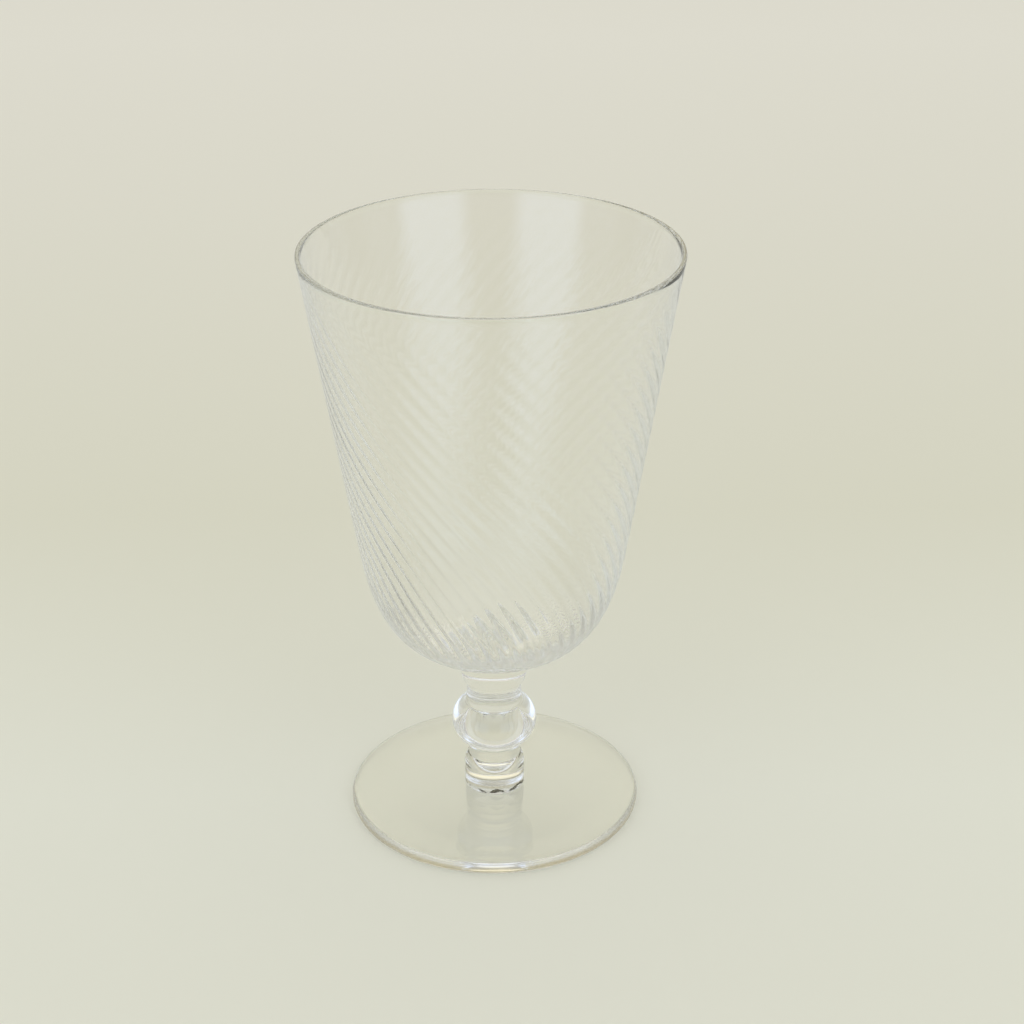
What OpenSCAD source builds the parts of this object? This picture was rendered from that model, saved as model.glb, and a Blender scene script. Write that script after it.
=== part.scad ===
// Water goblet: a thin swirl-ribbed bowl on a short ball stem and a flat round foot.
// Six gathers of clear glass, welded to one another at flat round faces.
// Millimetres, +Z up. The origin is the middle of the face that the foot rests on.

/* [Overall] */
// Height from the table to the top of the rim
goblet_h = 148.5; // [130:0.5:190]

/* [Bowl] */
// Outer diameter at the rim
rim_d = 90; // [78:0.5:110]
// Outer diameter where the straight wall turns in
shoulder_d = 66.8; // [54:0.2:76]
// Height of the rounded bottom, from the weld to the straight wall
shoulder_h = 32.5; // [24:0.5:44]
// Mean thickness of the wall at the shoulder
bowl_wall = 1.5; // [1.1:0.05:2.4]
// Thickness of the rolled rim
rim_wall = 1.15; // [0.8:0.05:2]
// Thickness of the floor over the weld
floor_t = 3.2; // [2.2:0.1:6]

/* [Swirl ribs] */
// Ribs round the bowl
rib_count = 50; // [30:1:60]
// Height of a rib on the outside at the bottom, crest to valley
rib_out = 0.16; // [0.04:0.02:0.6]
// Height of a rib on the inside at the bottom, crest to valley
rib_in = 0.24; // [0.1:0.02:0.6]
// Share of that height which is left near the rim, where the glass was blown thinner
rim_rib_share = 0.5; // [0.1:0.05:1]
// Turn of a rib from the floor to the rim, in degrees
swirl_turn = 120; // [0:5:160]
// Length below the rim and round the weld over which the ribs fade out
rib_fade = 9; // [4:0.5:20]
// Diameter of the plain spot in the middle of the floor
plain_d = 10; // [4:0.5:16]
// Distance from that spot over which the inside ribs rise
plain_fade = 4; // [2:0.5:8]

/* [Stem] */
// Diameter of the neck between the ball and the bowl
neck_d = 13.8; // [12:0.1:15]
// Diameter of the weld under the bowl
bowl_weld_d = 20; // [18.4:0.2:24]
// Height of the neck, from the ball to the bowl
neck_h = 15.8; // [12.6:0.1:26]
// Height of the cone by which the neck opens out to the bowl
cone_h = 9.1; // [5:0.1:10.6]
// Reach of the fillet under that cone
cone_fillet = 1; // [0.4:0.1:1.5]
// Reach of the fillets that join the ball to the neck and the waist
ball_fillet = 0.6; // [0.3:0.1:0.9]
// Widest diameter of the ball
knop_d = 21.4; // [18.5:0.1:28]
// Height of the ball between its two welds
knop_h = 11.2; // [9:0.1:16]
// Diameter of the short waist under the ball
waist_d = 13.2; // [12:0.1:14.4]
// Height of the waist
waist_h = 4; // [3.2:0.1:8]

/* [Foot collar] */
// Diameter of the collar that stands on the foot
collar_d = 15.2; // [14:0.1:18]
// Height of the collar
collar_h = 9; // [6:0.1:16]
// Height of the shoulder by which the collar draws in to the waist
collar_shoulder = 2.9; // [1.2:0.1:4.5]
// Radius of the collar's rounded lower edge, where it is fused to the foot
collar_round = 0.8; // [0.3:0.1:1.5]

/* [Foot] */
// Diameter of the foot
foot_d = 73.6; // [64:0.2:90]
// Thickness of the foot's rolled edge
foot_edge = 2.9; // [2:0.1:4]
// Thickness of the foot at the collar
foot_h = 4.1; // [3.2:0.1:7]
// Diameter of the hollow ground into the underside
hollow_d = 54; // [30:0.5:58]
// Depth of that hollow
hollow_depth = 0.8; // [0.3:0.05:1.2]

/* [Hidden] */

// Heights of the welds above the table
collar_z = foot_h;
waist_z = collar_z + collar_h;
knop_z = waist_z + waist_h;
neck_z = knop_z + knop_h;
bowl_z = neck_z + neck_h;

// Radius of the ball's two welds, fillets included
ball_weld_r = neck_d / 2 + ball_fillet;

// Bowl: where the straight wall starts and where the rolled rim starts
shoulder_z = bowl_z + shoulder_h;
rim_z = goblet_h - rim_wall / 2;
rim_mid_r = rim_d / 2 - rim_wall / 2;

// The rounded bottom is a superellipse, squarer than an ellipse, in its two directions
side_power = 3.1;
floor_power = 3.6;

// Two points to a rib: its crest and its valley
ring_points = 2 * rib_count;
// Rows of points along the straight wall, and the angles of those round the bottom and the rim
wall_rows = 10;
turn_step = 10;
rim_step = 45;

// The swirl is steepest a little above the bowl's middle, and eases off towards both ends
swirl_peak_share = 0.6;
swirl_spread_share = 0.75;

// Facets of the turned pieces, and of arcs whose circles are far wider than the piece
fine = 96;
arc_fine = 1440;
$fn = fine;

// The straight wall, carried on down to the weld, less a wall thickness that goes from full at the
// shoulder to the rim's at the rim. side is 0 on the outside and 1 on the inside.
function wall_share(z) = (z - shoulder_z) / (rim_z - shoulder_z);
function wall_t(z) = bowl_wall + (rim_wall - bowl_wall) * max(0, wall_share(z));
function wall_r(z, side) =
    shoulder_d / 2 + (rim_d - shoulder_d) / 2 * wall_share(z) - side * wall_t(z);

// Radius and height of a row round the bottom. u runs from 0 at the pole to 90 at the shoulder.
function bottom_row(u, side) =
    let (drop = shoulder_h - side * floor_t,
         z = shoulder_z - drop * pow(cos(u), 2 / side_power))
    [wall_r(z, side) * pow(sin(u), 2 / floor_power), z];

function wall_row(share, side) =
    let (z = shoulder_z + share * (rim_z - shoulder_z)) [wall_r(z, side), z];

// The bowl's outline from the weld, up the outside, over the rim and down the inside
outer_rows = concat(
    [[bowl_weld_d / 2, bowl_z]],
    [for (u = [turn_step : turn_step : 90 - turn_step]) bottom_row(u, 0)],
    [for (i = [0 : wall_rows]) wall_row(i / wall_rows, 0)]);
rim_rows = [for (a = [rim_step : rim_step : 180 - rim_step])
    [rim_mid_r + rim_wall / 2 * cos(a), rim_z + rim_wall / 2 * sin(a)]];
inner_rows = concat(
    [for (i = [wall_rows : -1 : 0]) wall_row(i / wall_rows, 1)],
    [for (u = [90 - turn_step : -turn_step : turn_step]) bottom_row(u, 1)]);
rows = concat(outer_rows, rim_rows, inner_rows);
pole = bottom_row(0, 1);

// How far a rib has turned at a height, from the weld to the rim
function swirl_sum(share) =
    share - (pow(share - swirl_peak_share, 3) + pow(swirl_peak_share, 3))
        / (3 * pow(swirl_spread_share, 2));
function swirl(z) =
    -swirl_turn * swirl_sum(max(0, min(1, (z - bowl_z) / (rim_z - bowl_z)))) / swirl_sum(1);

// Ribs are highest at the bottom and lower towards the rim. They rise smoothly from nothing at the
// rim, at the weld outside, and round the plain spot inside.
function eased(share) = let (s = max(0, min(1, share))) s * s * (3 - 2 * s);
function stretch(z) = 1 - (1 - rim_rib_share) * max(0, min(1, (z - bowl_z) / (rim_z - bowl_z)));
function floor_share(p, side) = side > 0
    ? eased((p[0] - bowl_weld_d / 2) / rib_fade)
    : eased((p[0] - plain_d / 2) / plain_fade);
function rib_share(p, side) =
    stretch(p[1]) * eased((rim_z - p[1]) / rib_fade) * floor_share(p, side);

// Rows outside the wall rise outwards on a crest and rows inside it rise inwards
function row_side(i) =
    i < len(outer_rows) ? 1 : i < len(outer_rows) + len(rim_rows) ? 0 : -1;
function rib_height(i) = row_side(i) > 0 ? rib_out : rib_in;

// Unit normal of the outline at a row, to the left of its run and so out of the glass
function run(i) = rows[min(i + 1, len(rows) - 1)] - rows[max(i - 1, 0)];
function normal(i) = [run(i)[1], -run(i)[0]] / norm(run(i));

function bowl_point(i, j) =
    let (side = row_side(i),
         share = abs(side) * rib_share(rows[i], side),
         wave = (j % 2 == 0 ? 1 : -1) * rib_height(i) / 2 * share,
         p = rows[i] + wave * normal(i),
         a = 360 * j / ring_points + swirl(rows[i][1]))
    [p[0] * cos(a), p[0] * sin(a), p[1]];

// A thin-walled bowl whose ribs wind round it, as one closed skin
module bowl() {
    row_count = len(rows);
    points = concat(
        [for (i = [0 : row_count - 1]) for (j = [0 : ring_points - 1]) bowl_point(i, j)],
        [[0, 0, bowl_z], [0, 0, pole[1]]]);
    weld_point = row_count * ring_points;
    pole_point = weld_point + 1;
    last = (row_count - 1) * ring_points;
    skin = [for (i = [0 : row_count - 2]) for (j = [0 : ring_points - 1])
        let (k = (j + 1) % ring_points, low = i * ring_points, high = low + ring_points)
        each [[low + j, high + j, high + k], [low + j, high + k, low + k]]];
    weld = [for (j = [0 : ring_points - 1]) [weld_point, j, (j + 1) % ring_points]];
    floor_fan = [for (j = [0 : ring_points - 1])
        [pole_point, last + (j + 1) % ring_points, last + j]];
    color("gainsboro", 0.45)
        polyhedron(points, concat(weld, skin, floor_fan), convexity = 6);
}

// A quarter-round fillet that fills the corner at the outline's origin
module corner_fill(r) {
    difference() {
        square([r, r]);
        translate([r, r]) circle(r);
    }
}

// A neck that rises from the ball, then opens by a tight fillet and a cone to the weld under the bowl
module bowl_neck() {
    r = neck_d / 2;
    cone_low = neck_h - cone_h;
    color("lightgray", 0.6)
        translate([0, 0, neck_z])
            rotate_extrude() {
                square([r, neck_h]);
                translate([r, 0]) corner_fill(ball_fillet);
                translate([r, cone_low]) mirror([0, 1]) corner_fill(cone_fillet);
                polygon([[0, cone_low], [r + cone_fillet, cone_low],
                    [bowl_weld_d / 2, neck_h], [0, neck_h]]);
            }
}

// The flattened ball: an arc turned about the axis, cut flat at both welds
module knop() {
    half_h = knop_h / 2;
    // The arc passes through the fillet's edge at the weld and the widest point at mid-height
    reach = knop_d / 2 - ball_weld_r;
    arc_r = (reach * reach + half_h * half_h) / (2 * reach);
    color("silver", 0.6)
        translate([0, 0, knop_z + half_h])
            rotate_extrude()
                intersection() {
                    translate([0, -half_h]) square([knop_d / 2, knop_h]);
                    union() {
                        translate([knop_d / 2 - arc_r, 0]) circle(arc_r);
                        translate([0, -half_h]) square([ball_weld_r, knop_h]);
                    }
                }
}

// The short waist, which widens by a fillet to the ball
module waist() {
    r = waist_d / 2;
    color("lightgray", 0.6)
        translate([0, 0, waist_z])
            rotate_extrude() {
                square([r, waist_h]);
                translate([r, waist_h]) mirror([0, 1]) corner_fill(ball_weld_r - r);
            }
}

// The collar: a shoulder that draws in to the waist, and a lower edge that rounds in to the foot
module foot_collar() {
    r = collar_d / 2;
    reach = (collar_d - waist_d) / 2;
    turn_r = (reach * reach + collar_shoulder * collar_shoulder) / (2 * reach);
    color("silver", 0.6)
        translate([0, 0, collar_z])
            rotate_extrude() {
                translate([0, collar_round])
                    square([r, collar_h - collar_shoulder - collar_round]);
                square([r - collar_round, collar_h - collar_shoulder]);
                translate([r - collar_round, collar_round]) circle(collar_round);
                square([waist_d / 2, collar_h]);
                translate([0, collar_h - collar_shoulder])
                    intersection() {
                        square([r, collar_shoulder]);
                        translate([r - turn_r, 0]) circle(turn_r);
                    }
            }
}

// The foot: a flat disc that thickens to the middle, with a rolled edge and a hollow underside
module foot() {
    edge_r = foot_edge / 2;
    flat_r = foot_d / 2 - edge_r;
    hollow_r = (hollow_d * hollow_d / 4 + hollow_depth * hollow_depth) / (2 * hollow_depth);
    weld_r = collar_d / 2;
    color("gainsboro", 0.5)
        rotate_extrude()
            difference() {
                union() {
                    polygon([[0, 0], [flat_r, 0], [flat_r, foot_edge], [weld_r, foot_h], [0, foot_h]]);
                    translate([flat_r, edge_r]) circle(edge_r);
                }
                translate([0, hollow_depth - hollow_r]) circle(hollow_r, $fn = arc_fine);
            }
}

bowl();
bowl_neck();
knop();
waist();
foot_collar();
foot();
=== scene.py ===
# %% [markdown]
# # A swirl-ribbed water goblet in clear glass
#
# This notebook dresses a packed construction model of a hand-made water goblet. The model gives the
# true sizes and the places of the six pieces, and each one gets a finer glass body here. The frame is
# loaded first, because every piece is measured from it.

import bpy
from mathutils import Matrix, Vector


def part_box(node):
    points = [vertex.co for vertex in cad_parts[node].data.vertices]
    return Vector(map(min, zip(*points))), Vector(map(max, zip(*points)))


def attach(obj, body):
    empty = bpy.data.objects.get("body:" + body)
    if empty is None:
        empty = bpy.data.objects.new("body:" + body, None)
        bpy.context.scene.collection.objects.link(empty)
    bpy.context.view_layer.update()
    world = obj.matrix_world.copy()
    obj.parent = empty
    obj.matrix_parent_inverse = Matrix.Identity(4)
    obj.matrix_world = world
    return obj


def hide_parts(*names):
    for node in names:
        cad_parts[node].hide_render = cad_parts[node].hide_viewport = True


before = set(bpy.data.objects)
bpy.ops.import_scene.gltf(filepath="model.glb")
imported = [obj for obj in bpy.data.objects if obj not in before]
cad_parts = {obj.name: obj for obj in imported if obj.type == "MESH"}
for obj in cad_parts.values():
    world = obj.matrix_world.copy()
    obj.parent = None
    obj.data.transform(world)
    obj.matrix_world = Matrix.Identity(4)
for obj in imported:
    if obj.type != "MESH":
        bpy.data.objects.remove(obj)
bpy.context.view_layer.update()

# %% Modules and units
import math

import bmesh
import bpy
from mathutils import Matrix, Vector

MM = 0.001
print("nodes:", sorted(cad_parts))

# %% [markdown]
# ## The camera
#
# The camera comes first, so that each later choice can be checked from the photographed side. Its
# height, distance and lens were found by fitting a pinhole camera to the goblet's rim, its two
# outlines and its foot. A camera could be aimed by eye, but a fitted one makes every ellipse of the
# glass as round and as open as in the photo.

# %% Camera
CAMERA_DISTANCE = 468.8 * MM
CAMERA_HEIGHT = 311.6 * MM
CAMERA_TILT = math.radians(26.19)
CAMERA_PAN = math.radians(0.57)
CAMERA_ROLL = math.radians(-0.15)
SENSOR_WIDTH = 36.0
PHOTO_WIDTH = 1024.0
PHOTO_FOCAL = 2147.0


def add_camera():
    data = bpy.data.cameras.new("photo_camera")
    data.sensor_width = SENSOR_WIDTH
    data.lens = PHOTO_FOCAL / PHOTO_WIDTH * SENSOR_WIDTH
    camera = bpy.data.objects.new("photo_camera", data)
    # A camera looks down its own -Z, so it is stood up, tipped down, panned and rolled
    camera.matrix_world = (
        Matrix.Translation((0.0, -CAMERA_DISTANCE, CAMERA_HEIGHT))
        @ Matrix.Rotation(-CAMERA_PAN, 4, "Z")
        @ Matrix.Rotation(math.pi / 2 - CAMERA_TILT, 4, "X")
        @ Matrix.Rotation(CAMERA_ROLL, 4, "Z")
    )
    bpy.context.scene.collection.objects.link(camera)
    bpy.context.scene.camera = camera
    return camera


camera = add_camera()
print("lens in mm:", round(camera.data.lens, 2))

# %% [markdown]
# ## Sizes that the bowl needs
#
# The weld height, the rim height and the rim radius are read from the bowl's own box. They could be
# typed in, but then a change of the construction would leave the glass behind. The rest are the
# design's named sizes: where the straight wall ends, how thick it is, and how square the bottom is.

# %% Bowl sizes
bowl_low, bowl_high = [Vector(corner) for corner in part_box("bowl")]
neck_low, neck_high = [Vector(corner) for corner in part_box("bowl_neck")]
BOWL_Z = bowl_low.z
RIM_TOP = bowl_high.z
RIM_RADIUS = bowl_high.x
WELD_RADIUS = neck_high.x
SHOULDER_RADIUS = 33.4 * MM
SHOULDER_HEIGHT = 32.5 * MM
BOWL_WALL = 1.5 * MM
RIM_WALL = 1.15 * MM
FLOOR_THICKNESS = 3.2 * MM
SIDE_POWER = 3.1
FLOOR_POWER = 3.6
WELD_GAP = 0.002 * MM
SHOULDER_Z = BOWL_Z + SHOULDER_HEIGHT
RIM_Z = RIM_TOP - RIM_WALL / 2
print("weld at", round(BOWL_Z, 4), "rim at", round(RIM_TOP, 4), "rim radius", round(RIM_RADIUS, 4))

# %% [markdown]
# ## The bowl's outline
#
# On the real goblet the bowl is blown: the wall runs straight and the bottom rounds in more squarely
# than an ellipse would. A superellipse has that form with only two powers to choose. The outline runs
# from the weld up the outside, over the rolled rim, and down the inside to the middle of the floor.

# %% Outline of the bowl
WALL_ROWS = 44
TURN_STEPS = 24
RIM_STEPS = 8
CLEAR_OF_WELD = 1.08


def wall_share(z):
    return (z - SHOULDER_Z) / (RIM_Z - SHOULDER_Z)


def wall_radius(z, inside):
    share = wall_share(z)
    wall = BOWL_WALL + (RIM_WALL - BOWL_WALL) * max(0.0, share)
    return SHOULDER_RADIUS + (RIM_RADIUS - SHOULDER_RADIUS) * share - inside * wall


def bottom_point(turn, inside):
    drop = SHOULDER_HEIGHT - inside * FLOOR_THICKNESS
    z = SHOULDER_Z - drop * math.cos(turn) ** (2 / SIDE_POWER)
    return wall_radius(z, inside) * math.sin(turn) ** (2 / FLOOR_POWER), z


def wall_point(share, inside):
    z = SHOULDER_Z + share * (RIM_Z - SHOULDER_Z)
    return wall_radius(z, inside), z


def rim_point(turn):
    half = RIM_WALL / 2
    return RIM_RADIUS - half * (1 - math.cos(turn)), RIM_Z + half * math.sin(turn)


def bowl_outline():
    """Points (radius, height, side): side is 1 outside, -1 inside and 0 on the rim and the weld."""
    turns = [math.pi / 2 * i / TURN_STEPS for i in range(1, TURN_STEPS)]
    nearest = WELD_RADIUS * CLEAR_OF_WELD
    points = [(0.0, BOWL_Z + WELD_GAP, 0), (WELD_RADIUS, BOWL_Z + WELD_GAP, 0)]
    points += [(*bottom_point(t, 0), 1) for t in turns if bottom_point(t, 0)[0] > nearest]
    points += [(*wall_point(i / WALL_ROWS, 0), 1) for i in range(WALL_ROWS + 1)]
    points += [(*rim_point(math.pi * i / RIM_STEPS), 0) for i in range(1, RIM_STEPS)]
    points += [(*wall_point(1 - i / WALL_ROWS, 1), -1) for i in range(WALL_ROWS + 1)]
    points += [(*bottom_point(t, 1), -1) for t in reversed(turns)]
    points.append((0.0, bottom_point(0.0, 1)[1], 0))
    return points


outline = bowl_outline()
print("outline points:", len(outline))

# %% [markdown]
# ## Spinning an outline
#
# Every piece of the goblet is a turned body, so one function makes them all. bmesh spins an outline
# that starts and ends on the axis, its doubles on the axis are merged, which closes both poles, and
# its faces are then turned outwards. Each point remembers its place in the outline for later steps.

# %% Spin
MERGE_DISTANCE = 1e-7


def spin_outline(points, segments):
    """A closed body of revolution from an outline that starts and ends on the axis. Each vertex
    keeps the number of its outline point in the layer called row."""
    bm = bmesh.new()
    row = bm.verts.layers.int.new("row")
    verts = [bm.verts.new((p[0], 0.0, p[1])) for p in points]
    for i, v in enumerate(verts):
        v[row] = i
    edges = [bm.edges.new(pair) for pair in zip(verts, verts[1:])]
    bmesh.ops.spin(bm, geom=verts + edges, cent=(0, 0, 0), axis=(0, 0, 1), angle=2 * math.pi,
                   steps=segments, use_merge=True)
    bmesh.ops.remove_doubles(bm, verts=bm.verts[:], dist=MERGE_DISTANCE)
    bmesh.ops.recalc_face_normals(bm, faces=bm.faces[:])
    return bm


# %% [markdown]
# ## Winding the ribs
#
# The ribs come from a ribbed mould: the hot gather is dipped in it, pulled out and twisted, then
# blown. The mesh follows the same steps. The plain bowl is spun, each point is moved along the wall's
# normal by a wave with fifty crests, and each row is turned about the axis by the swirl, so the ribs
# run along the mesh's own lines and stay crisp at a low cost. A bump map would be cheaper still, but
# glass shows its ribs by bending light, and that needs real shape. The ribs are deep inside the wall
# and faint outside, and they sink towards the rim, where the glass was blown thinner.

# %% Rib sizes
RIB_COUNT = 50
POINTS_PER_RIB = 8
RIB_OUT = 0.08 * MM
RIB_IN = 0.24 * MM
RIM_RIB_SHARE = 0.34
RIM_FADE = 22.0 * MM
RIB_FADE = 9.0 * MM
FLOOR_RIB_RADIUS = 5.0 * MM
FLOOR_RIB_FADE = 4.0 * MM
SWIRL_TURN = math.radians(120)
SWIRL_PEAK = 0.6
SWIRL_SPREAD = 0.75


def eased(share):
    s = min(1.0, max(0.0, share))
    return s * s * (3 - 2 * s)


def height_share(z):
    """0 at the weld and 1 at the rim."""
    return min(1.0, max(0.0, (z - BOWL_Z) / (RIM_Z - BOWL_Z)))


def swirl_sum(share):
    return share - ((share - SWIRL_PEAK) ** 3 + SWIRL_PEAK**3) / (3 * SWIRL_SPREAD**2)


def swirl(z):
    return -SWIRL_TURN * swirl_sum(height_share(z)) / swirl_sum(1.0)


def rib_strength(radius, z, side):
    """Full at the bottom, weaker towards the rim where the glass was blown thinner, and none at the
    rim itself, at the weld or in the middle of the floor."""
    stretch = 1 - (1 - RIM_RIB_SHARE) * height_share(z)
    if side > 0:
        floor = eased((radius - WELD_RADIUS) / RIB_FADE)
    else:
        floor = eased((radius - FLOOR_RIB_RADIUS) / FLOOR_RIB_FADE)
    return stretch * eased((RIM_Z - z) / RIM_FADE) * floor


print("whole turn of a rib in degrees:", round(math.degrees(swirl(RIM_Z)), 1))


# %% The bowl's mesh
def outline_normals(points):
    """Unit normals that point out of the glass, one for each point of an outline, in (radius, height)."""
    normals = []
    for i in range(len(points)):
        a, b = points[max(i - 1, 0)], points[min(i + 1, len(points) - 1)]
        run = Vector((b[0] - a[0], b[1] - a[1]))
        normals.append(Vector((run.y, -run.x)).normalized())
    return normals


def make_bowl():
    bm = spin_outline(outline, RIB_COUNT * POINTS_PER_RIB)
    normals = outline_normals(outline)
    layer = bm.verts.layers.int["row"]
    for v in bm.verts:
        radius = math.hypot(v.co.x, v.co.y)
        row = v[layer]
        side = outline[row][2]
        angle = math.atan2(v.co.y, v.co.x)
        height = RIB_OUT if side > 0 else RIB_IN
        strength = abs(side) * rib_strength(radius, v.co.z, side)
        wave = height / 2 * strength * math.cos(RIB_COUNT * angle)
        r = radius + wave * normals[row].x
        turned = angle + swirl(v.co.z)
        v.co = (r * math.cos(turned), r * math.sin(turned), v.co.z + wave * normals[row].y)
    return bm


bowl_mesh = make_bowl()
print("bowl faces:", len(bowl_mesh.faces))

# %% [markdown]
# ## The stem and the foot
#
# The stem is a row of turned bits: a straight neck that opens by a tight fillet and a cone to the bowl,
# a flattened ball, a short waist with a fillet under the ball, and a collar whose shoulder draws in to
# the waist. The foot is a thin disc with a rolled edge and a shallow ground hollow beneath. On the real
# thing each is a hot bit of glass squeezed and turned against a wooden tool, so every outline is an arc
# or a straight line. Splines could follow the photo more freely, but arcs keep the maker's geometry.
# Each piece is its own closed body, cut flat where it is welded to the next.

# %% Stem sizes
knop_low, knop_high = [Vector(corner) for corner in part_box("knop")]
waist_low, waist_high = [Vector(corner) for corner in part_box("waist")]
collar_low, collar_high = [Vector(corner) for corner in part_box("foot_collar")]
foot_low, foot_high = [Vector(corner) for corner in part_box("foot")]
NECK_RADIUS = 6.9 * MM
CONE_HEIGHT = 9.1 * MM
CONE_FILLET = 1.0 * MM
BALL_WELD = waist_high.x
BALL_FILLET = BALL_WELD - NECK_RADIUS
WAIST_RADIUS = 6.6 * MM
COLLAR_RADIUS = 7.6 * MM
COLLAR_SHOULDER = 2.9 * MM
COLLAR_ROUND = 0.4 * MM
FOOT_WELD = COLLAR_RADIUS - COLLAR_ROUND
FOOT_RADIUS = foot_high.x
FOOT_EDGE = 2.9 * MM
HOLLOW_RADIUS = 27.0 * MM
HOLLOW_DEPTH = 0.8 * MM
STEM_SEGMENTS = 128
FOOT_SEGMENTS = 256
ARC_STEPS = 20
print("ball from", round(knop_low.z, 4), "to", round(knop_high.z, 4))
print("foot from", round(foot_low.z, 4), "to", round(foot_high.z, 4))


# %% Arcs
def arc(cx, cz, r, start, end, steps=ARC_STEPS):
    """Points on an arc, angles in degrees from +radius towards +height."""
    out = []
    for i in range(steps + 1):
        a = math.radians(start + (end - start) * i / steps)
        out.append((cx + r * math.cos(a), cz + r * math.sin(a)))
    return out


def bulge(r_end, r_mid, low, high, steps=ARC_STEPS * 2):
    """Points on the arc through r_end at both heights and r_mid half-way between them."""
    half = (high - low) / 2
    reach = r_mid - r_end
    r = (reach * reach + half * half) / (2 * abs(reach))
    way = math.copysign(1.0, reach)
    centre = r_mid - way * r
    top = math.asin(half / r)
    points = []
    for i in range(steps + 1):
        a = -top + 2 * top * i / steps
        points.append((centre + way * r * math.cos(a), low + half + r * math.sin(a)))
    return points


# %% Outlines of the stem's pieces and the foot
def neck_outline():
    low, high = neck_low.z, neck_high.z
    cone = high - CONE_HEIGHT
    base = arc(BALL_WELD, low + BALL_FILLET, BALL_FILLET, 270, 180)
    turn = arc(NECK_RADIUS + CONE_FILLET, cone - CONE_FILLET, CONE_FILLET, 180, 90)
    return [(0, low)] + base + turn + [(WELD_RADIUS, high), (0, high)]


def knop_outline():
    low, high = knop_low.z, knop_high.z
    return [(0, low)] + bulge(BALL_WELD, knop_high.x, low, high) + [(0, high)]


def waist_outline():
    low, high = waist_low.z, waist_high.z
    reach = BALL_WELD - WAIST_RADIUS
    return [(0, low), (WAIST_RADIUS, low)] + arc(BALL_WELD, high - reach, reach, 180, 90) + [(0, high)]


def collar_outline():
    low, high = collar_low.z, collar_high.z
    base = arc(FOOT_WELD, low + COLLAR_ROUND, COLLAR_ROUND, -90, 0)
    reach = COLLAR_RADIUS - WAIST_RADIUS
    turn = (reach**2 + COLLAR_SHOULDER**2) / (2 * reach)
    tip = math.degrees(math.asin(COLLAR_SHOULDER / turn))
    top = arc(COLLAR_RADIUS - turn, high - COLLAR_SHOULDER, turn, 0, tip)
    return [(0, low)] + base + top + [(0, high)]


def foot_outline():
    edge = FOOT_EDGE / 2
    hollow = (HOLLOW_RADIUS**2 + HOLLOW_DEPTH**2) / (2 * HOLLOW_DEPTH)
    tip = math.degrees(math.asin(HOLLOW_RADIUS / hollow))
    under = arc(0, HOLLOW_DEPTH - hollow, hollow, 90, 90 - tip)
    rim = arc(FOOT_RADIUS - edge, edge, edge, -90, 90)
    top = foot_high.z
    return under + rim + [(COLLAR_RADIUS, top), (FOOT_WELD, top), (0, top)]


# %% [markdown]
# ## Turning an outline into a piece
#
# A finished piece is a mesh object at the origin. Its flat weld faces get a second material slot,
# because light runs straight through a weld: the two pieces are one body of glass there. The pieces
# could be joined into one mesh instead, but then none of them could be named, counted or replaced.

# %% Mesh to piece
FLAT = 0.999


def is_weld(face, welds):
    """Whether a face is flat, at the height of a weld and inside that weld's radius."""
    at = face.calc_center_median()
    reach = math.hypot(at.x, at.y)
    level = abs(face.normal.z) > FLAT
    return any(level and abs(at.z - z) < WELD_GAP * 2 and reach < radius for z, radius in welds)


def add_piece(name, node, bm, welds, sharp_angle):
    for face in bm.faces:
        face.smooth = True
        face.material_index = 1 if is_weld(face, welds) else 0
    mesh = bpy.data.meshes.new(name)
    bm.to_mesh(mesh)
    bm.free()
    mesh.set_sharp_from_angle(angle=math.radians(sharp_angle))
    piece = bpy.data.objects.new(name, mesh)
    bpy.context.scene.collection.objects.link(piece)
    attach(piece, "root")
    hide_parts(node)
    print(name, "has", len(mesh.polygons), "faces")
    return piece


# %% The six pieces
SHARP = 40
FOOT_SHARP = 30
WELD_REACH = 1.02
WELDS = {
    "bowl": [(BOWL_Z, WELD_RADIUS * WELD_REACH)],
    "bowl_neck": [(neck_low.z, BALL_WELD), (neck_high.z, WELD_RADIUS)],
    "knop": [(knop_low.z, BALL_WELD), (knop_high.z, BALL_WELD)],
    "waist": [(waist_low.z, WAIST_RADIUS), (waist_high.z, BALL_WELD)],
    "foot_collar": [(collar_low.z, FOOT_WELD), (collar_high.z, WAIST_RADIUS)],
    "foot": [(foot_high.z, FOOT_WELD)],
}

pieces = {"bowl": add_piece("glass_bowl", "bowl", bowl_mesh, WELDS["bowl"], SHARP)}
for node, shape in {
    "bowl_neck": neck_outline(),
    "knop": knop_outline(),
    "waist": waist_outline(),
    "foot_collar": collar_outline(),
}.items():
    body = spin_outline(shape, STEM_SEGMENTS)
    pieces[node] = add_piece("glass_" + node, node, body, WELDS[node], SHARP)
foot_mesh = spin_outline(foot_outline(), FOOT_SEGMENTS)
pieces["foot"] = add_piece("glass_foot", "foot", foot_mesh, WELDS["foot"], FOOT_SHARP)

# %% [markdown]
# ## Node helpers
#
# The glass, the lamps and the studio are all built from nodes. A few short functions make the nodes
# that come back again and again, so each material below reads as a short list of steps. They could be
# node groups, but an export can lose a number that reaches a shader through a group.

# %% Node helpers
def fade(tree, value, start, end):
    """A smooth step from 0 where the value is start to 1 where it is end."""
    step = tree.nodes.new("ShaderNodeMapRange")
    step.interpolation_type = "SMOOTHSTEP"
    step.inputs["From Min"].default_value = start
    step.inputs["From Max"].default_value = end
    tree.links.new(value, step.inputs["Value"])
    return step.outputs["Result"]


def math_node(tree, operation, a, b=None):
    """One step of arithmetic on an output. b is another output, or a plain number."""
    step = tree.nodes.new("ShaderNodeMath")
    step.operation = operation
    tree.links.new(a, step.inputs[0])
    if isinstance(b, float):
        step.inputs[1].default_value = b
    elif b is not None:
        tree.links.new(b, step.inputs[1])
    return step.outputs[0]


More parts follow.
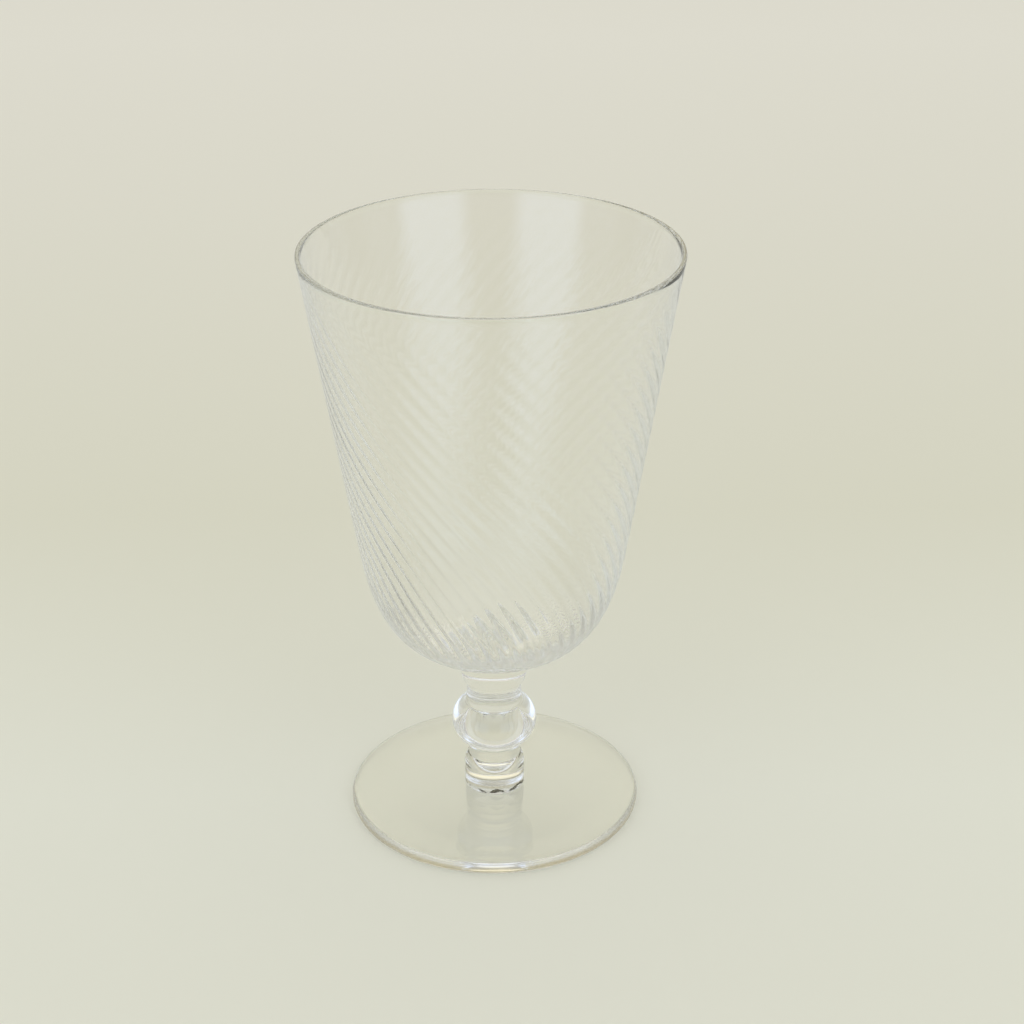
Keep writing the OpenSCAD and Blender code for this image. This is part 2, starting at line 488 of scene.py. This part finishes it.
def times(tree, a, b):
    return math_node(tree, "MULTIPLY", a, b)


def axes(tree, vector):
    """The X, Y and Z outputs of a vector."""
    parts = tree.nodes.new("ShaderNodeSeparateXYZ")
    tree.links.new(vector, parts.inputs["Vector"])
    return parts.outputs


print("helpers: fade, math_node, times, axes")

# %% [markdown]
# ## Clear glass
#
# Glass is mostly what it shows behind it, so its material is short: full transmission, a refractive
# index near 1.52, no roughness, and the faint ripple of hand-worked glass as a bump. Lamps would cast
# black shadows through it, because a path tracer seldom finds a lamp through a lens. Caustics could be
# traced, but they are slow and noisy, so rays that only ask for shadow pass a plain transparent shader.
#
# The bowl's own weld needs care. Its glass dims light (next step), and Cycles only ends such a volume
# at a face with the same shader, so the bowl's weld face can't have the weld's material. Instead the
# bowl's shader itself turns transparent below the weld's height.

# %% Glass material
GLASS_IOR = 1.52
RIPPLE_HEIGHT = 0.05 * MM


def straight_rays(tree, place, weld_below):
    """1 for the rays that run straight on: shadow rays, and all of them below a given height."""
    straight = tree.nodes.new("ShaderNodeLightPath").outputs["Is Shadow Ray"]
    if weld_below is None:
        return straight
    at_weld = math_node(tree, "LESS_THAN", axes(tree, place)["Z"], weld_below)
    return math_node(tree, "MAXIMUM", straight, at_weld)


def glass_material(name, tint, ripple_size, weld_below=None):
    """weld_below is a height under which the whole piece is weld, and light runs straight through."""
    mat = bpy.data.materials.new(name)
    mat.use_nodes = True
    tree = mat.node_tree
    tree.nodes.clear()
    node = tree.nodes.new
    link = tree.links.new
    out = node("ShaderNodeOutputMaterial")
    glass = node("ShaderNodeBsdfPrincipled")
    glass.inputs["Base Color"].default_value = (*tint, 1)
    glass.inputs["Transmission Weight"].default_value = 1.0
    glass.inputs["IOR"].default_value = GLASS_IOR
    glass.inputs["Roughness"].default_value = 0.0
    clear = node("ShaderNodeBsdfTransparent")
    clear.inputs["Color"].default_value = (1, 1, 1, 1)
    place = node("ShaderNodeTexCoord").outputs["Object"]
    ripple = node("ShaderNodeTexNoise")
    ripple.inputs["Scale"].default_value = 1 / ripple_size
    ripple.inputs["Detail"].default_value = 1.0
    bump = node("ShaderNodeBump")
    bump.inputs["Strength"].default_value = 1.0
    bump.inputs["Distance"].default_value = RIPPLE_HEIGHT
    link(place, ripple.inputs["Vector"])
    link(ripple.outputs["Fac"], bump.inputs["Height"])
    link(bump.outputs["Normal"], glass.inputs["Normal"])
    mix = node("ShaderNodeMixShader")
    link(straight_rays(tree, place, weld_below), mix.inputs["Fac"])
    link(glass.outputs["BSDF"], mix.inputs[1])
    link(clear.outputs["BSDF"], mix.inputs[2])
    link(mix.outputs["Shader"], out.inputs["Surface"])
    return mat


def weld_material(name):
    mat = bpy.data.materials.new(name)
    mat.use_nodes = True
    tree = mat.node_tree
    tree.nodes.clear()
    out = tree.nodes.new("ShaderNodeOutputMaterial")
    clear = tree.nodes.new("ShaderNodeBsdfTransparent")
    tree.links.new(clear.outputs["BSDF"], out.inputs["Surface"])
    return mat


# %% Plain glass for the bowl, the stem, the collar and the foot
BOWL_TINT = (1.0, 0.998, 0.985)
STEM_TINT = (1.0, 0.995, 0.98)
FOOT_TINT = (1.0, 0.995, 0.96)
WIDE_RIPPLE = 30 * MM
STEM_RIPPLE = 12 * MM
weld = weld_material("stem_weld")
bowl_glass = glass_material("bowl_glass", BOWL_TINT, WIDE_RIPPLE, BOWL_Z + WELD_GAP * 2)
stem_glass = glass_material("stem_glass", STEM_TINT, STEM_RIPPLE)
collar_glass = glass_material("collar_glass", STEM_TINT, STEM_RIPPLE)
foot_glass = glass_material("foot_glass", FOOT_TINT, WIDE_RIPPLE)
print("glass materials:", [mat.name for mat in (bowl_glass, stem_glass, collar_glass, foot_glass)])

# %% [markdown]
# ## Dimming inside the bowl
#
# Seen along its wall, the glass of the rim is a thin grey line, because light goes a long way through
# it there. A darker base colour would grey the whole bowl alike. Volume absorption takes light only in
# step with the way it travels in the glass, so the thin wall stays clear and the rim goes dark.

# %% Dimming
BOWL_DIMMING = 2.6
BOWL_BODY = (0.52, 0.46, 0.23)


def dim_inside(mat, color, density):
    """Light fades on its way through the glass, which only shows where that way is long."""
    tree = mat.node_tree
    body = tree.nodes.new("ShaderNodeVolumeAbsorption")
    body.inputs["Color"].default_value = (*color, 1)
    body.inputs["Density"].default_value = density
    tree.links.new(body.outputs["Volume"], tree.nodes["Material Output"].inputs["Volume"])


dim_inside(bowl_glass, BOWL_BODY, BOWL_DIMMING)
print("absorption density in the bowl:", BOWL_DIMMING)

# %% [markdown]
# ## Painted shade at the collar
#
# The creases where the collar meets the foot and the waist show uneven dark lines, where the glass bends
# the dim room into view. They are painted shade here. Shaping the glass to bend the dark in would be exact
# but hard to steer, and at this size the lines show only as broken strokes. So a narrow band of dark base
# colour is drawn at a height that noise makes wander, with a width that a second noise lets grow, shrink
# or break off. At the collar's top the band is kept to two short stretches, one on each side.

# %% Painted shade line
CREASE_SHADE_SOFT = 0.12 * MM
WANDER_SIZE = 3.5 * MM
BREAK_SIZE = 2.2 * MM
NOISE_LOW, NOISE_HIGH = 0.35, 0.65


def noise_between(tree, place, size, low, high):
    """Noise of a size, stretched to run between two values."""
    noise = tree.nodes.new("ShaderNodeTexNoise")
    noise.inputs["Scale"].default_value = 1 / size
    noise.inputs["Detail"].default_value = 2.0
    tree.links.new(place, noise.inputs["Vector"])
    span = tree.nodes.new("ShaderNodeMapRange")
    span.inputs["From Min"].default_value = NOISE_LOW
    span.inputs["From Max"].default_value = NOISE_HIGH
    span.inputs["To Min"].default_value = low
    span.inputs["To Max"].default_value = high
    tree.links.new(noise.outputs["Fac"], span.inputs["Value"])
    return span.outputs["Result"]


def crease_shade_line(tree, place, height, wander, width):
    """A mask that is 1 along an uneven line round a turned piece. One noise makes the line wander up
    and down, another one widens it or breaks it off."""
    middle = noise_between(tree, place, WANDER_SIZE, height - wander / 2, height + wander / 2)
    spread = noise_between(tree, place, BREAK_SIZE, -CREASE_SHADE_SOFT, width / 2)
    away = math_node(tree, "ABSOLUTE", math_node(tree, "SUBTRACT", axes(tree, place)["Z"], middle))
    return fade(tree, math_node(tree, "SUBTRACT", away, spread), CREASE_SHADE_SOFT, 0.0)


def tone_by_mask(mat, tint, tone, mask):
    """Glass of one tint, with another tone where the mask is 1."""
    tree = mat.node_tree
    mix = tree.nodes.new("ShaderNodeMix")
    mix.data_type = "RGBA"
    tree.links.new(mask, mix.inputs["Factor"])
    mix.inputs["A"].default_value = (*tint, 1)
    mix.inputs["B"].default_value = (*tone, 1)
    tree.links.new(mix.outputs["Result"], tree.nodes["Principled BSDF"].inputs["Base Color"])


# %% Painted shade at the collar's creases
# Painted shade: the dark tone of the lines at the collar's creases
CREASE_SHADE_TONE = (0.04, 0.035, 0.025)
CREASE_SHADE_RISE = 0.75 * MM
CREASE_SHADE_WANDER = 1.1 * MM
CREASE_SHADE_WIDTH = 1.1 * MM
TOP_SHADE_WIDTH = 0.5 * MM
TOP_SHADE_SIDES = (2.4 * MM, 4.2 * MM)


def paint_crease_shade(mat, tint, low, high):
    """Painted shade: an uneven dark line at the crease under the collar, and two short dark strokes at the
    crease on its top, one on each side.
    """
    tree = mat.node_tree
    place = tree.nodes["Texture Coordinate"].outputs["Object"]
    base = crease_shade_line(tree, place, low + CREASE_SHADE_RISE, CREASE_SHADE_WANDER, CREASE_SHADE_WIDTH)
    top_shade = crease_shade_line(tree, place, high - TOP_SHADE_WIDTH / 2, TOP_SHADE_WIDTH, TOP_SHADE_WIDTH)
    sides = fade(tree, math_node(tree, "ABSOLUTE", axes(tree, place)["X"]), *TOP_SHADE_SIDES)
    # The dark lines are painted shade, laid into the collar's base colour
    tone_by_mask(mat, tint, CREASE_SHADE_TONE, math_node(tree, "MAXIMUM", base, times(tree, top_shade, sides)))


paint_crease_shade(collar_glass, STEM_TINT, collar_low.z, collar_high.z)
print("seam at", round(collar_low.z + CREASE_SHADE_RISE, 5), "marks at", round(collar_high.z - TOP_SHADE_WIDTH / 2, 5))

# %% [markdown]
# ## Painted shade on the foot's edge, and the light under it
#
# Light that runs a long way through the rolled edge of the foot comes out dimmer and warmer, and the edge
# throws a thin brown contact shadow. Both are painted shade here: a narrow ring of warmer, darker base
# colour runs round the disc, by its distance from the axis.
#
# Real glass also gathers light on what lies close under it. The straight shadow rays can't do that, so
# they carry a gain through the foot. The gain is not a property of glass: it is a number tuned until
# the table seen through the foot was nearly as light as in the photo.

# %% Painted edge shade and gain
# Painted shade: the warm, darker tone of the ring along the foot's edge
EDGE_SHADE_TONE = (0.74, 0.66, 0.48)
EDGE_SHADE_REACH = 0.35 * MM
FOOT_GAIN = 1.16


def paint_edge_shade(mat, tint, radius):
    """Painted shade: a warm, darker ring along the rolled edge of a glass disc, by the distance from its
    axis.
    """
    tree = mat.node_tree
    level = tree.nodes.new("ShaderNodeVectorMath")
    level.operation = "MULTIPLY"
    level.inputs[1].default_value = (1, 1, 0)
    tree.links.new(tree.nodes["Texture Coordinate"].outputs["Object"], level.inputs[0])
    reach = tree.nodes.new("ShaderNodeVectorMath")
    reach.operation = "LENGTH"
    tree.links.new(level.outputs["Vector"], reach.inputs[0])
    ring = fade(tree, reach.outputs["Value"], radius - EDGE_SHADE_REACH, radius)
    tone_by_mask(mat, tint, EDGE_SHADE_TONE, ring)


def gather_light(mat, gain):
    """Shadow rays carry a gain through the glass, for the light that real glass gathers."""
    mat.node_tree.nodes["Transparent BSDF"].inputs["Color"].default_value = (gain, gain, gain, 1)


paint_edge_shade(foot_glass, FOOT_TINT, FOOT_RADIUS)
gather_light(foot_glass, FOOT_GAIN)
print("foot edge ring from", round(FOOT_RADIUS - EDGE_SHADE_REACH, 5), "gain", FOOT_GAIN)

# %% Give each piece its glass
finishes = {"bowl": bowl_glass, "foot_collar": collar_glass, "foot": foot_glass}
for node, piece in pieces.items():
    piece.data.materials.append(finishes.get(node, stem_glass))
    piece.data.materials.append(bowl_glass if node == "bowl" else weld)
    print(node, "is made of", [mat.name for mat in piece.data.materials])

# %% [markdown]
# ## The table
#
# The goblet stands on a pale matt sweep. It could run on for ever, but the back wall of the bowl is a
# mirror that looks out low over the table's front edge, so the edge has to be where the camera stands.
# The table lies a hair below the foot, so that the glass and the table share no plane. Its colour changes
# slowly from front to back, darkest half-way and lightest far behind: this is painted light and shade,
# laid on the paper's pale colour. Lamps could make that change, but a colour ramp is easier to set and
# costs no noise.

# %% Table
TABLE_HALF_WIDTH = 0.7
TABLE_FRONT = -0.32
TABLE_BACK = 1.6
TABLE_DROP = 0.03 * MM


def add_table():
    bm = bmesh.new()
    bmesh.ops.create_grid(bm, x_segments=1, y_segments=1, size=1.0)
    depth = (TABLE_BACK - TABLE_FRONT) / 2
    bmesh.ops.scale(bm, vec=(TABLE_HALF_WIDTH, depth, 1), verts=bm.verts)
    bmesh.ops.translate(bm, vec=(0, TABLE_FRONT + depth, -TABLE_DROP), verts=bm.verts)
    mesh = bpy.data.meshes.new("table")
    bm.to_mesh(mesh)
    bm.free()
    table = bpy.data.objects.new("table", mesh)
    bpy.context.scene.collection.objects.link(table)
    return table


table = add_table()
print("table in metres:", [round(side, 2) for side in table.dimensions])

# %% The table's pale sweep, with painted light and shade
TABLE_NEAR = -0.1
TABLE_FAR = 0.9
# Pale paper colour with painted light and shade: darkest half-way, lightest far behind
TABLE_TONES_AND_SHADE = {
    0.02: (0.815, 0.81, 0.735),
    0.1: (0.835, 0.835, 0.765),
    0.265: (0.79, 0.78, 0.685),
    0.6: (0.855, 0.84, 0.785),
    0.9: (0.90, 0.885, 0.85),
}


def sweep_material(name):
    mat = bpy.data.materials.new(name)
    mat.use_nodes = True
    tree = mat.node_tree
    shader = tree.nodes["Principled BSDF"]
    place = tree.nodes.new("ShaderNodeTexCoord").outputs["Object"]
    along = tree.nodes.new("ShaderNodeMapRange")
    along.inputs["From Min"].default_value = TABLE_NEAR
    along.inputs["From Max"].default_value = TABLE_FAR
    tones = tree.nodes.new("ShaderNodeValToRGB")
    stops = tones.color_ramp.elements
    for i, (share, tone) in enumerate(TABLE_TONES_AND_SHADE.items()):
        stop = stops[0] if i == 0 else stops.new(share)
        stop.position = share
        stop.color = (*tone, 1)
    stops.remove(stops[-1])
    tree.links.new(axes(tree, place)["Y"], along.inputs["Value"])
    tree.links.new(along.outputs["Result"], tones.inputs["Fac"])
    tree.links.new(tones.outputs["Color"], shader.inputs["Base Color"])
    shader.inputs["Roughness"].default_value = 0.9
    shader.inputs["Specular IOR Level"].default_value = 0.1
    return mat


table.data.materials.append(sweep_material("pale_sweep"))
print("tones from front to back:", len(TABLE_TONES_AND_SHADE))

# %% [markdown]
# ## The lamps
#
# Two tall soft panels stand in front of the goblet, left and right of the camera. An area lamp has
# hard edges, and a mirror as clear as glass would show them, so each panel fades out towards its edges.
# The lamps light the table and the glass but aren't seen themselves, neither mirrored nor through the
# glass, because a panel seen through the bowl from behind would be a blown-out white.

# %% Lamps
PANEL_DISTANCE = 1.3
PANEL_ANGLE = math.radians(37)
PANEL_SIZE = (1.3, 2.1)
PANEL_SOFT = 0.25
PANEL_GLOW = 1.62
PANEL_HEIGHT = 0.31
COOL = (0.70, 0.80, 1.0)


def soften_edges(data, share):
    """Makes a flat lamp fade out towards its four edges, over a share of its width and height."""
    data.use_nodes = True
    tree = data.node_tree
    spot = axes(tree, tree.nodes.new("ShaderNodeNewGeometry").outputs["Parametric"])
    across, upright = [
        times(tree, fade(tree, spot[letter], 0.0, share), fade(tree, spot[letter], 1.0, 1.0 - share))
        for letter in "XY"
    ]
    tree.links.new(times(tree, across, upright), tree.nodes["Emission"].inputs["Strength"])


def add_panel(name, size, place, target, radiance, color):
    """A flat lamp. Its power is worked out from the brightness that its face should show."""
    data = bpy.data.lights.new(name, "AREA")
    data.shape = "RECTANGLE"
    data.size, data.size_y = size
    data.energy = radiance * size[0] * size[1] * math.pi
    data.color = color
    lamp = bpy.data.objects.new(name, data)
    way = Vector(target) - Vector(place)
    lamp.matrix_world = Matrix.Translation(place) @ way.to_track_quat("-Z", "Y").to_matrix().to_4x4()
    lamp.visible_camera = False
    lamp.visible_glossy = False
    lamp.visible_transmission = False
    soften_edges(data, PANEL_SOFT)
    bpy.context.scene.collection.objects.link(lamp)
    return lamp


for name, side in {"panel_left": -1, "panel_right": 1}.items():
    x = side * PANEL_DISTANCE * math.sin(PANEL_ANGLE)
    y = -PANEL_DISTANCE * math.cos(PANEL_ANGLE)
    lamp = add_panel(name, PANEL_SIZE, (x, y, PANEL_HEIGHT), (0, 0, PANEL_HEIGHT), PANEL_GLOW, COOL)
    print(name, "has", round(lamp.data.energy, 1), "watts")

# %% [markdown]
# ## The studio around
#
# What a clear glass mirrors is what makes it visible. An even white world would leave the bowl flat, and
# a modelled studio would need walls that also light the table. So the world answers by the kind of ray.
# A ray that the glass has mirrored sees a studio, painted by direction: a dim room with grey walls, a
# pale backdrop behind the table, a lit ceiling, and the two panels where the lamps stand. Every other
# ray, and light that the table has scattered, sees one even pale tone.

# %% Directions in the studio
PANEL_TURNS = [math.radians(a) for a in (10.4, 23.0, 51.0, 63.6)]
PANEL_RISES = [math.sin(math.radians(a)) for a in (-33.5, -14.4, 28.8, 43.6)]
BEHIND = (0.70, 0.85)
AHEAD = (-0.75, -0.85)
BACKDROP_RISE = (0.1, 0.25)
BACK_WALL_RISE = (0.3, 0.42)
FRONT_RISE = (0.18, 0.3)
WALLS_RISE = (0.35, 0.5)
CEILING_RISE = (0.72, 0.85)
# Steps over a count of bounces: 1 for none, 1 from one on, and 1 from two on
NONE_YET = (0.9, 0.1)
ONE_OR_MORE = (0.1, 0.9)
TWO_OR_MORE = (1.1, 1.9)


def between(tree, value, field):
    """A smooth mask that rises over the first two of four values and sinks over the last two."""
    return times(tree, fade(tree, value, field[0], field[1]), fade(tree, value, field[3], field[2]))


def panel_images(tree, way, path):
    """A mask over the directions in which the two panels stand, for light that comes mirrored from
    the glass and not from the table: by the turn from straight ahead, and by the rise."""
    side = math_node(tree, "ABSOLUTE", way["X"])
    turn = math_node(tree, "ARCTAN2", side, math_node(tree, "MULTIPLY", way["Y"], -1.0))
    panels = times(tree, between(tree, turn, PANEL_TURNS), between(tree, way["Z"], PANEL_RISES))
    return times(tree, panels, fade(tree, path["Diffuse Depth"], *NONE_YET))


print("panels seen from", [round(math.degrees(turn), 1) for turn in PANEL_TURNS], "degrees off the middle")

# %% World
ROOM = (0.32, 0.30, 0.22)
FRONT = (0.62, 0.63, 0.58)
WALLS = (0.50, 0.50, 0.47)
BACKDROP = (0.85, 0.82, 0.66)
BACK_WALL = (1.15, 1.13, 0.96)
CEILING = (0.95, 0.98, 1.02)
PANELS = tuple(PANEL_GLOW * part for part in COOL)
ALL_ROUND = (0.765, 0.755, 0.668)


def over(tree, under, color, share):
    """Background light of one colour, laid over another by a share."""
    top = tree.nodes.new("ShaderNodeBackground")
    top.inputs["Color"].default_value = (*color, 1)
    mix = tree.nodes.new("ShaderNodeMixShader")
    tree.links.new(share, mix.inputs["Fac"])
    tree.links.new(under, mix.inputs[1])
    tree.links.new(top.outputs[0], mix.inputs[2])
    return mix.outputs[0]


def studio_layers(tree, way, path):
    """Colours and their masks, from the room's front to the even light that covers all the rest."""
    behind = fade(tree, way["Y"], *BEHIND)
    ahead = fade(tree, way["Y"], *AHEAD)
    scattered = fade(tree, path["Diffuse Depth"], *ONE_OR_MORE)
    not_from_table = fade(tree, path["Is Diffuse Ray"], *NONE_YET)
    return [
        (FRONT, times(tree, ahead, fade(tree, way["Z"], *FRONT_RISE))),
        (WALLS, fade(tree, way["Z"], *WALLS_RISE)),
        (BACKDROP, times(tree, behind, fade(tree, way["Z"], *BACKDROP_RISE))),
        (BACK_WALL, times(tree, behind, fade(tree, way["Z"], *BACK_WALL_RISE))),
        (CEILING, fade(tree, way["Z"], *CEILING_RISE)),
        (PANELS, panel_images(tree, way, path)),
        (ALL_ROUND, fade(tree, path["Glossy Depth"], *NONE_YET)),
        (ALL_ROUND, fade(tree, path["Diffuse Depth"], *TWO_OR_MORE)),
        (ALL_ROUND, times(tree, scattered, not_from_table)),
    ]


def set_world():
    world = bpy.data.worlds.new("studio")
    world.use_nodes = True
    tree = world.node_tree
    room = tree.nodes["Background"]
    room.inputs["Color"].default_value = (*ROOM, 1)
    way = axes(tree, tree.nodes.new("ShaderNodeTexCoord").outputs["Generated"])
    path = tree.nodes.new("ShaderNodeLightPath").outputs
    light = room.outputs[0]
    for color, mask in studio_layers(tree, way, path):
        light = over(tree, light, color, mask)
    tree.links.new(light, tree.nodes["World Output"].inputs["Surface"])
    bpy.context.scene.world = world
    return world


world = set_world()
print("world nodes:", len(world.node_tree.nodes))

# %% [markdown]
# ## How far light may travel
#
# A ray that crosses the ribbed bowl meets many faces, and each one costs a bounce. Too low a limit
# leaves black specks where the glass is deep, so the limits are set high. The Standard view keeps the
# pale tones as they were chosen, where a filmic one would grey them.

# %% Bounces and view
BOUNCES = 96
scene = bpy.context.scene
scene.view_settings.view_transform = "Standard"
scene.cycles.max_bounces = BOUNCES
scene.cycles.transmission_bounces = BOUNCES
scene.cycles.glossy_bounces = BOUNCES
scene.cycles.transparent_max_bounces = BOUNCES
print("bounces:", scene.cycles.max_bounces, "view:", scene.view_settings.view_transform)
